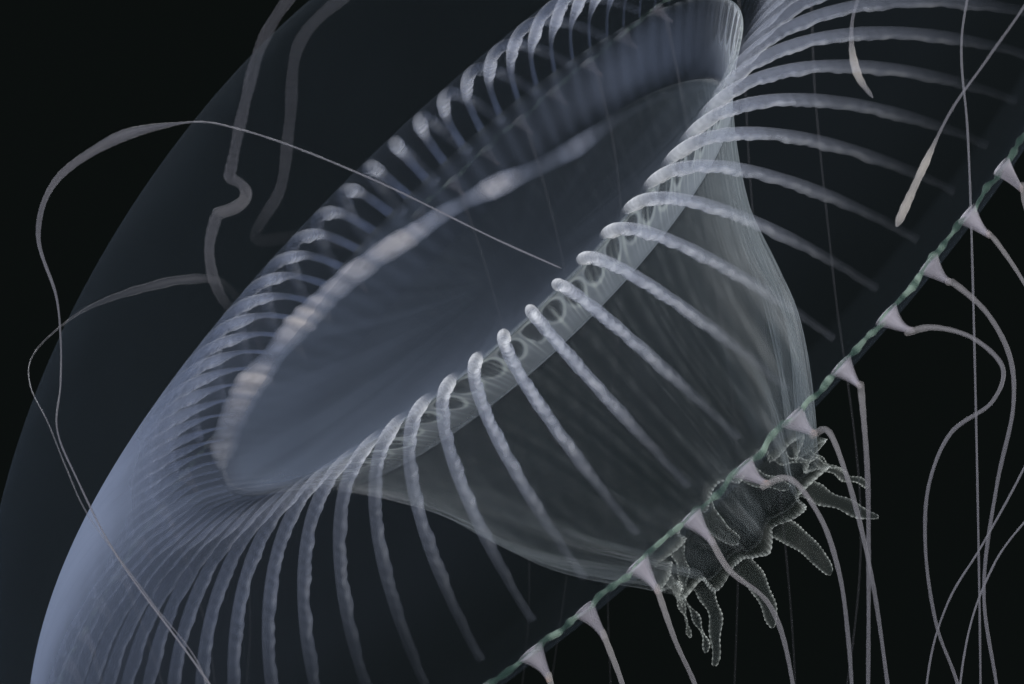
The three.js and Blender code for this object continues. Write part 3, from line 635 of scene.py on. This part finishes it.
def lip(number):
    """
    A tongue of half width w(t) along a curve that bends outwards by curl t^2, its section a flat
    loop (cos q, thickness sin q); towards the sides it waves by ruffle sin(s) and swells in beads.
    """
    angle = (number + 0.5) * turn / lip_count
    curl = (3.6 if number % 3 == 1 else 1.8) + 0.7 * varied(number, 30)
    length = lip_length * (0.86 + 0.16 * varied(number, 34))
    t = np.linspace(0, 1, 150)
    q = round_turn(24)
    half = lip_width / 2 * (1 - 0.3 * rise(t, 0.1, 0.7)) * np.sqrt(np.clip(1 - t ** 7, 0, 1))
    travel = (t * length)[:, None]
    side = np.cos(q)[None, :]
    rim = np.abs(side) ** 8
    bead = 0.5 + 0.5 * np.sin(turn * travel / bead_gap + 2.0 * np.sign(side))
    across = half[:, None] * side + 0.05 * bead * np.sign(side) * rim
    thick = (0.1 + 0.06 * rim * (0.3 + bead)) * np.sin(q)[None, :]
    ruffle = np.sin(turn * travel / 2.3 + 2.4 * np.sign(side) + 4 * varied(number, 32))
    ruffle = 0.16 * np.abs(side) ** 2 * ruffle
    swing = 0.9 * (np.sin(2.2 * t + 2 * varied(number, 33)) - np.sin(2 * varied(number, 33)))
    height = 0.1 - skirt_depth - length * t * (1 - 0.1 * t)
    centre = round_axis(angle, mouth_radius - 0.1 + curl * t ** 2, height)
    along_mouth = np.array([np.cos(angle), np.sin(angle), 0.0])
    outward = np.cross(unit(np.gradient(centre, axis=0)), along_mouth)
    points = centre[:, None, :] + (across + swing[:, None])[..., None] * along_mouth
    aside = thick + ruffle * rise(t, 0.0, 0.3)[:, None]
    points = points + aside[..., None] * outward[:, None, :]
    grown = rise(t, 0.0, 0.2)[:, None]
    draws = np.random.default_rng(number).random(30)
    fleck = np.interp(travel, np.linspace(0, length, 30), draws)
    shine = grown * rim * (0.4 + 0.6 * bead) * (0.45 + 0.8 * fleck)
    return leant(points), 0.12 * grown + 0.85 * shine, np.clip(shine, 0, 1)


lip_finish = tissue("lip_tissue", deep=(104, 112, 110), pale=(220, 226, 222), face=0.85, rim=0.3,
                    power=2.0, mottle=0.1, grain_size=300, roughness=0.35)
put_on(mouth_frill(), lip_finish, "skirt", *[f"mouth_lips_{k + 1}" for k in range(quarters)])
for quarter in range(quarters):
    sheets, cover, pale = zip(*[lip(3 * quarter + k) for k in range(lip_count // quarters)])
    mesh = skinned(f"lips_{quarter + 1}", sheets, cover=cover, pale=pale)
    put_on(mesh, lip_finish, "skirt", f"mouth_lips_{quarter + 1}")

# --- The margin -------------------------------------------------------------------------------
# A blue-green ring canal runs round the thin edge, an uneven cord of flecked tissue.

def ring_canal():
    """A ring at the margin whose section and line wander, with lighter flecks along it."""
    angles = round_turn(2400)[:, None]
    q = round_turn(10)
    size = 0.1 + 0.15 * uneven(angles, 700, 11)
    aside = 0.3 * (uneven(angles, 260, 12) - 0.5)
    lift = 0.3 * (uneven(angles, 320, 13) - 0.5)
    radius = bell_radius - 0.1 + aside + size * np.cos(q)
    height = margin_level + lift + size * np.sin(q)
    points = leant(round_axis(angles, radius, height))
    fleck = uneven(angles, 900, 14) * uneven(angles, 380, 15)
    near = 0.06 + 0.94 * beside(angles, near_side, 1.5)
    cover = near * (0.22 + 0.9 * fleck) * np.ones(len(q))
    pale = np.clip(1.6 * fleck, 0, 1) * np.ones(len(q))
    return skinned("ring_canal", [points], loop=True, cover=[cover], pale=[pale])


margins = [f"margin_{quarter + 1}" for quarter in range(quarters)]
ring_finish = tissue("ring_canal_tissue", deep=(78, 112, 102), pale=(150, 172, 160), face=1.0, rim=-0.7,
                     power=1.6, mottle=0.5, grain_size=1500, roughness=0.5)
put_on(ring_canal(), ring_finish, "margin", *margins)

# --- The tentacles ----------------------------------------------------------------------------
# Fine hollow threads that hang from the bulbs. Those at the front, left and right lie in drifting
# curves, and each of these has a course of its own; the rest hang nearly straight.

bulb_length, bulb_sides, thread_sides = 1.7, 16, 8


def bulb_tip(canal, beyond=0.0):
    """Where the bulb of a canal ends, past it by beyond along its way out."""
    angle = (canal + bulb_phase) * canal_step
    radius, height = bell_radius + 0.4 + 0.5 * beyond, margin_level - bulb_length - beyond
    return leant(round_axis(angle, radius, height))


def course(places, count):
    """Centripetal Catmull-Rom curve through places, then count points spaced evenly along it."""
    places = np.asarray(places, float)
    full = np.vstack([2 * places[0] - places[1], places, 2 * places[-1] - places[-2]])
    gap = np.linalg.norm(np.diff(full, axis=0), axis=1) ** 0.5
    a, b, c, d = full[:-3], full[1:-2], full[2:-1], full[3:]
    g0, g1, g2 = gap[:-2, None], gap[1:-1, None], gap[2:, None]
    leave = ((b - a) / g0 - (c - a) / (g0 + g1) + (c - b) / g1) * g1
    arrive = ((c - b) / g1 - (d - b) / (g1 + g2) + (d - c) / g2) * g1
    t = np.linspace(0, 1, 24, endpoint=False)[:, None, None]
    square, cube = 3 * (c - b) - 2 * leave - arrive, 2 * (b - c) + leave + arrive
    fine = b + leave * t + square * t ** 2 + cube * t ** 3
    fine = np.vstack([fine.transpose(1, 0, 2).reshape(-1, 3), places[-1:]])
    run = np.concatenate([[0], np.cumsum(np.linalg.norm(np.diff(fine, axis=0), axis=1))])
    even = np.linspace(0, run[-1], count)
    return np.stack([np.interp(even, run, fine[:, k]) for k in range(3)], -1), even


def threaded(path, radius):
    """A round section of the given radii along a path, square to it and turned as little as can be."""
    along = unit(np.gradient(path, axis=0))
    first, side = np.empty_like(along), np.cross(along[0], (0.3, 0.9, 0.2))
    for k, way in enumerate(along):
        side = side - (side @ way) * way
        side /= np.linalg.norm(side)
        first[k] = side
    second = np.cross(along, first)
    q = round_turn(thread_sides)[None, :, None]
    section = np.cos(q) * first[:, None] + np.sin(q) * second[:, None]
    return path[:, None] + radius[:, None, None] * section


def beaded(canal, run, thick, thin, *knobs):
    """
    Radius from thick at the bulb to thin at the end, with small beads and slow swellings; each
    knob (place, size, reach) adds a bump at a share of the length.
    """
    total = run[-1]
    radius = 0.62 * (thin + (thick - thin) * np.exp(-run / 6))
    for place, size, reach in knobs:
        radius = radius + size * np.exp(-((run / total - place) / reach) ** 2)
    beads = 0.05 * np.sin(turn * run / 0.9 + varied(canal, 41))
    radius = radius * (1 + beads + 0.08 * np.sin(turn * run / 5.3))
    return radius * np.sqrt(np.clip((total - run) / 0.4, 0.02, 1))


def kinked(path, share, first, length, size):
    """Adds a round bulge to the right, size (1 - cos a, -sin a / 2) with a one turn over length."""
    spin = turn * rise(share, first, first + length)
    return path + size * np.stack([1 - np.cos(spin), 0 * spin, -0.5 * np.sin(spin)], -1)


# Each canal's radius at the bulb and at the end, and the places it passes, from the bell's centre.
draped = {
    42: (0.85, 0.85, [(-15.8, 53.5, 2), (-19.6, 52, 1.8), (-17.3, 49.5, 6), (-16.3, 46.7, 11.5),
        (-15, 42, 18), (-9.5, 38.7, 22.6), (-3.3, 36.7, 27)]),
    44: (0.8, 0.8, [(-21.4, 50.5, -4.5), (-23.4, 49.5, 0.2), (-21.5, 46.7, 6.6), (-19.8, 41.5, 12),
        (-17.5, 35, 17.5), (-13, 27.7, 22.4), (-8, 21.7, 27.1)]),
    46: (0.45, 0.09, [(-18.9, 50, -8.1), (-20.2, 49, -4.6), (-22, 46, -2.2), (-24.5, 41, -2),
        (-26.9, 35.5, -2.7), (-29.6, 26, -4.1), (-30.8, 16, -5.7), (-31.5, 5, -8), (-29.7, -8, -10.2),
        (-27.2, -16.5, -12.5), (-25.1, -23, -15.1), (-22.8, -29.5, -17.7), (-18.5, -35.5, -22.1),
        (-14.9, -38.5, -26.7), (-15.6, -39.5, -32), (-16, -40, -45), (-15.4, -40, -75)]),
    77: (0.3, 0.16, [(5.6, -44, -30), (6.6, -43, -45), (6, -43, -70), (6.6, -43, -88)]),
    78: (0.3, 0.16, [(8.8, -45.3, -26.5), (10.3, -43.8, -34), (10.5, -43, -60), (9.6, -43, -96)]),
    79: (0.3, 0.16, [(11.5, -46, -23.5), (12.8, -45.3, -26.5), (14.3, -43.8, -34), (15, -43.3, -70),
        (14, -43, -106)]),
    0: (0.32, 0.17, [(14.4, -46.6, -19.6), (16.6, -46.3, -21.5), (18, -45.4, -26), (18.8, -44.5, -40),
        (18.2, -44.5, -70), (19, -44, -100)]),
    1: (0.32, 0.17, [(17.6, -47, -14.6), (19.2, -48, -16.6), (20.2, -48.2, -19.5), (20.8, -47.3, -23),
        (21.4, -45.4, -30), (22, -44.5, -60), (21.5, -44.5, -110)]),
    2: (0.32, 0.17, [(19.7, -47.3, -12), (20.6, -48.2, -14.3), (21.7, -48.3, -18.5),
        (22.8, -46.6, -24), (24.6, -45, -40), (25, -44.5, -75), (25.6, -44, -98)]),
    3: (0.34, 0.18, [(21.6, -46.8, -10), (21.9, -46.9, -14), (22.2, -45, -19.5), (22.4, -43, -27),
        (22.2, -42, -60), (22.6, -41, -108)]),
    4: (0.32, 0.15, [(25.6, -45.6, -6.4), (27.6, -47.3, -7), (29, -48.6, -8.6), (28.2, -50, -10.4),
        (26, -50.3, -12), (24.9, -49.9, -14.6), (24.8, -48.8, -18), (25.6, -47.3, -22.5),
        (27.2, -46, -27), (28, -46, -45), (28.4, -46, -90)]),
    5: (0.34, 0.16, [(27, -44.6, -4), (28.6, -45.6, -5.6), (29.8, -46, -8), (30, -46, -10.6),
        (29.2, -45.4, -15), (28.6, -44.6, -21), (29.6, -44, -28), (30.8, -43.6, -60),
        (30.4, -43.6, -97)]),
    6: (0.26, 0.1, [(29.6, -42.6, -1.6), (31.6, -43.2, -5), (32.8, -43.3, -10), (31.2, -42.9, -14),
        (29, -41.4, -18.6), (27.2, -40.3, -22), (26.2, -38.8, -27), (26.4, -38.5, -60),
        (25.8, -38.5, -104)]),
    7: (0.26, 0.12, [(31.6, -41.4, 0), (34.5, -42, -4), (36, -41.5, -12), (36.4, -41, -30),
        (35.6, -41, -92)]),
    8: (0.24, 0.1, [(34, -39.6, 2), (36.2, -38.6, -6), (33.8, -37.6, -15), (30.4, -36.8, -20),
        (28.6, -36.5, -26), (29, -36.5, -55), (28.4, -36.5, -80)]),
    10: (0.24, 0.1, [(37, -36, 6), (39, -36, -4), (37.4, -35.6, -16), (34.2, -35, -24), (33, -35, -34),
        (33.6, -35, -75), (33, -35, -112)]),
    12: (0.26, 0.14, [(40, -31, 10), (41.6, -31, 0), (42, -31, -30), (41.4, -30, -60),
        (42, -30, -100)]),
    15: (0.26, 0.14, [(43, -23, 17), (44.6, -23.4, 8), (45, -24, -20), (44.4, -24, -60),
        (45, -24, -86)]),
    22: (0.3, 0.16, [(42, 6.6, 26), (40.6, 7.6, 19), (37, 7.4, 13.4), (34.2, 6.7, 9.5), (31.9, 5.8, 5),
        (30, 5, 1)]),
    25: (0.26, 0.14, [(38, 17, 26), (36.3, 16.2, 15.4), (36.6, 15.2, 8.6), (36.8, 14.4, 0),
        (37.5, 14.4, -40), (37, 14.4, -84)]),
    28: (0.26, 0.2, [(32, 27.6, 26), (29.4, 28, 18), (29.8, 28, 14), (31, 27.6, 12)]),
    72: (0.24, 0.1, [(-14.5, -40.5, -26.5), (-20.4, -35, -19.7), (-23.5, -29.5, -15.5),
        (-25.3, -25.5, -12.7), (-26, -19.5, -9.9), (-26.8, -14, -7.1), (-27.7, -10, -4.1),
        (-29.3, -7.3, 0), (-28.6, -3.3, 4), (-25, -1.3, 6.8), (-20, -6, 7.6), (-14.4, -19.5, 6.2),
        (-5.4, -35.5, 2.2), (1.9, -43.8, -1.6), (5.3, -46.6, -3.2)]),
}

# Bumps (place, size, reach), how white some of them are, round bulges (first, length, size), and
# the run in mm over which a thread that starts far behind comes into view, with its strength.
knobs = {
    22: [(0.95, 0.26, 0.06), (0.84, 0.17, 0.05)], 28: [(0.84, 0.26, 0.1)],
    44: [(0.327, 0.1, 0.008), (0.345, 0.12, 0.01)], 46: [(0.13, 0.34, 0.1)],
    72: [(0.55, 0.2, 0.03), (0.5, 0.15, 0.06), (0.575, 0.12, 0.022)],
}
glowing_knobs = {22: 1.0, 28: 1.0, 44: 0.2}
kinks = {44: (0.31, 0.08, 0.95)}
dim_starts = {42: (12, 19, 0.2), 44: (8, 15, 0.5), 46: (11, 19, 0.42)}
thread_finish = tissue("tentacle_tissue", deep=(138, 138, 148), pale=(214, 208, 204), face=0.8, rim=-0.6,
                       power=1.6, mottle=0.14, grain_size=160, roughness=0.4)
solids = [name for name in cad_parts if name.startswith("tentacle_")]
for canal, (thick, thin, past) in sorted(draped.items()):
    path, run = course([bulb_tip(canal, -0.3), *(np.array(past) + bell_centre)], 400)
    if canal in kinks:
        path = kinked(path, run / run[-1], *kinks[canal])
    radius = beaded(canal, run, thick, thin, *knobs.get(canal, []))
    points = threaded(path, radius)
    soft = np.clip(0.42 + 0.05 * (0.18 / radius) ** 2, 0, 0.75)
    white = 0.5 * np.exp(-run / 4)
    if canal in glowing_knobs:
        gain = glowing_knobs[canal]
        bump = sum(np.exp(-((run / run[-1] - place) / reach) ** 2) for place, _, reach in knobs[canal])
        soft, white = soft + 0.3 * gain * bump, np.clip(white + gain * bump, 0, 1)
    if canal in dim_starts:
        first, last, strength = dim_starts[canal]
        seen = rise(run, first, last)
        soft, white = soft * (0.06 + strength * seen), white * seen
    cover = np.repeat(soft[:, None], thread_sides, 1)
    pale = np.repeat(white[:, None], thread_sides, 1)
    name = f"tentacle_{canal:02d}"
    mesh = skinned(f"{name}_thread", [points], cover=[cover], pale=[pale])
    put_on(mesh, thread_finish, "threads", *[solid for solid in solids if solid.startswith(name)])


def hanging_path(canal, length):
    """It leaves along the umbrella's axis, bends to the vertical and sways a little as it falls."""
    share = np.array([0, 0.06, 0.16, 0.36, 0.66, 1])
    start = bulb_tip(canal, -0.5)
    reach = 5 + 2 * varied(canal, 1)
    sway = 1.6 * np.sin(7 * share + 3 * varied(canal, 2)) - 1.6 * np.sin(3 * varied(canal, 2))
    places = start + (reach * (1 - np.exp(-9 * share)))[:, None] * out_of_bell
    places[:, 0] += sway
    places[:, 1] += 2.4 * share * varied(canal, 3)
    places[:, 2] -= length * share
    return course(places, 160)


def hanging_threads(quarter):
    """Every second canal has one, but not beside those with a course of their own."""
    sheets, cover, pale = [], [], []
    for canal in range(quarter * quarter_canals, (quarter + 1) * quarter_canals, 2):
        if any(each in draped for each in (canal - 1, canal, canal + 1)):
            continue
        length = (46 if 56 < canal < 69 else 78) + 14 * varied(canal, 4)
        path, run = hanging_path(canal, length)
        sheets.append(threaded(path, beaded(canal, run, 0.3, 0.15)))
        near = 0.05 + 0.95 * beside((canal + bulb_phase) * canal_step, near_side, 1.4)
        strength = 0.42 - 0.14 * rise(run / run[-1], 0, 0.5)
        cover.append(near * np.repeat(strength[:, None], thread_sides, 1))
        pale.append(np.repeat(0.5 * np.exp(-run / 4)[:, None], thread_sides, 1))
    return skinned(f"hanging_tentacles_{quarter + 1}", sheets, cover=cover, pale=pale)


for quarter in range(quarters):
    put_on(hanging_threads(quarter), thread_finish, "threads", margins[quarter])

# --- The bulbs --------------------------------------------------------------------------------
# A whitish translucent cone under each canal, broad along the margin and drawn out into the
# tentacle where there is one, with a trace of peach at its tip.

def bulb(canal):
    """
    A cone from the ring to a little past its tip: half breadth a(t) along the margin and b(t)
    across it, both falling with a power of 1 - t to a thread's radius.
    """
    angle = (canal + bulb_phase) * canal_step
    base = leant(round_axis(angle, bell_radius - 0.1, margin_level + 0.1))
    if canal in draped:
        way = draped[canal][2][0] + bell_centre - bulb_tip(canal)
    else:
        way = bulb_tip(canal, 1.0) - bulb_tip(canal)
    way = way / np.linalg.norm(way)
    t = np.linspace(0, 1, 18)[:, None]
    far = bulb_tip(canal, -0.3) + way * 0.5
    middle = base + out_of_bell * 1.2
    path = (1 - t) ** 2 * base + 2 * t * (1 - t) * middle + t ** 2 * far
    along_margin = pose @ np.array([np.cos(angle), np.sin(angle), 0.0])
    across = unit(np.cross(unit(np.gradient(path, axis=0)), along_margin))
    broad = 0.19 + (0.62 + 0.1 * varied(canal, 51)) * (1 - t) ** 2.1
    deep = 0.18 + 0.25 * (1 - t) ** 1.2
    q = round_turn(bulb_sides)
    points = path[:, None] + broad[..., None] * np.cos(q)[:, None] * along_margin
    points = points + deep[..., None] * np.sin(q)[:, None] * across[:, None]
    has_thread = canal in draped or canal % 2 == 0
    near = 0.06 + 0.94 * beside(angle, near_side, 1.5)
    chord = 0.2 + 0.8 * np.sin(q) ** 2
    streak = 0.6 + 0.4 * np.cos(7 * q + 5 * varied(canal, 53)) ** 2
    cover = (0.9 - 0.3 * t) * (chord * streak) * (1 if has_thread else 0.8) * near
    pale = np.repeat(rise(t, 0.75, 1.0), bulb_sides, 1) * (0.5 + 0.5 * varied(canal, 52))
    return points, cover, np.clip(pale, 0, 1)


bulb_finish = tissue("bulb_tissue", deep=(196, 192, 206), pale=(226, 190, 168), face=0.9, rim=-0.6,
                     power=2.2, grain_size=900, roughness=0.4)
sheets, cover, pale = zip(*[bulb(canal) for canal in range(canal_count)])
put_on(skinned("bulbs", sheets, cover=cover, pale=pale), bulb_finish, "margin", *margins)

# --- The stand --------------------------------------------------------------------------------
# A turned base of black-lacquered wood, two brushed-steel rods in turned collars, and a curved
# steel saddle lined with thin grey felt, welded to the rods, for the lowest side of the dome.

def filleted(*corners):
    """
    An outline (radius, height) through corners (r, z, cut). The stretch from cut before a corner
    to cut past it becomes the arc (1 - t)^2 a + 2t(1 - t) corner + t^2 b.
    """
    places = np.array([corner[:2] for corner in corners], float)
    t = np.linspace(0, 1, 7)[:, None]
    parts = [places[:1]]
    for before, here, after, corner in zip(places, places[1:], places[2:], corners[1:]):
        a, b = [here + corner[2] * (end - here) / np.linalg.norm(end - here) for end in (before, after)]
        parts.append((1 - t) ** 2 * a + 2 * t * (1 - t) * here + t ** 2 * b)
    return np.concatenate([*parts, places[-1:]])


def lathed(name, outline, centre, sides):
    """An outline turned about the upright through centre, and closed at both ends."""
    angles = round_turn(sides)
    points = round_axis(angles[None, :], outline[:, :1], outline[:, 1:])
    return skinned(name, [points + np.array([*centre, 0.0])])


def textured(name, dark, light, stretch, roughness, spread, **sockets):
    """A finish whose colour and roughness follow noise drawn out by stretch along each axis."""
    made = Finish(name)
    place = made.node("ShaderNodeTexCoord", output="Object")
    place = made.node("ShaderNodeMapping", {}, {"Vector": place, "Scale": stretch})
    grain = made.node("ShaderNodeTexNoise", {}, {"Vector": place, "Scale": 1, "Detail": 4})
    return made.skin(Base_Color=made.mixed(grain, srgb(*dark), srgb(*light)),
                     Roughness=roughness + spread * grain, **sockets)


lacquer = textured("black_lacquer", (14, 14, 16), (38, 36, 37), (60, 60, 400),
                   roughness=0.2, spread=0.2, Coat_Weight=0.4)
steel = textured("brushed_steel", (160, 162, 165), (200, 202, 204), (2400, 2400, 60),
                 roughness=0.24, spread=0.24, Metallic=1.0)
felt = textured("grey_felt", (62, 64, 68), (104, 106, 110), (2600, 2600, 2600),
                roughness=0.85, spread=0.15)

base_height = 8.0
base_outline = filleted(
    (50, 0.6, 0), (54.5, 0.6, 0.4), (55.0, 0, 0.3), (62, 0, 1.2), (62, 5.0, 2.2), (59.4, 5.4, 0.4),
    (59.2, 6.2, 0.3), (58.2, base_height, 1.6), (30, base_height, 1), (1, base_height, 0))
put_on(lathed("base", base_outline, (0, 0), 160), lacquer, "stand_base", "stand_base")

rod_radius, rod_top = 1.6, 115.0
rod_outline = filleted(
    (1, base_height, 0), (3.6, base_height, 0.1), (3.6, 9.2, 0.5), (3.0, 9.8, 0.3), (2.9, 11.4, 0.5),
    (rod_radius, 12.0, 0.5), (rod_radius, 60, 2), (rod_radius, rod_top, 0.7), (0.3, rod_top, 0))
for end in ("back", "front"):
    low, high = [np.array(corner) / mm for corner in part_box(f"stand_rod_{end}")]
    middle = (low + high) / 2
    put_on(lathed(f"rod_{end}", rod_outline, middle[:2], 40), steel, "stand_steel", f"stand_rod_{end}")

saddle_gap, saddle_thickness = 0.3, 1.4
saddle_middle, saddle_half, saddle_spread = 0.17, 0.07, np.radians(26)
lowest_angle = np.arctan2(pose[2, 0], -pose[2, 1]) + np.pi


def dome_patch(name, middle, thickness, grow):
    """
    A plate along the dome, its middle this far out. Its section is the loop sign(c) |c|^0.4 across
    the thickness and sign(s) |s|^0.4 up the dome, with c and s the cosine and sine of q, and its
    height shrinks to nothing at the ends as (1 - s^8)^(1/2) of the way s along it.
    """
    s = (np.sin(np.linspace(-1, 1, 140) * np.pi / 2) * 0.9995)[:, None]
    q = round_turn(48)
    out, up = [np.sign(wave) * np.abs(wave) ** 0.4 for wave in (np.cos(q), np.sin(q))]
    end = np.sqrt(1 - s ** 8)
    share = saddle_middle + saddle_half * grow * end * up
    offset = middle + thickness / 2 * np.minimum(1, 2 * end) * out
    radius, height = dome_outline(share)
    slope = np.pi / 2 * share
    radius, height = radius + offset * np.cos(slope), height + offset * np.sin(slope)
    angle = lowest_angle + saddle_spread * grow * s
    return skinned(name, [leant(round_axis(angle, radius, height))])


saddle = dome_patch("saddle", saddle_gap + saddle_thickness / 2, saddle_thickness, grow=1.0)
put_on(saddle, steel, "stand_steel", "stand_saddle")
lining = dome_patch("saddle_felt", middle=0.17, thickness=0.26, grow=0.97)
put_on(lining, felt, "stand_steel", "stand_saddle")
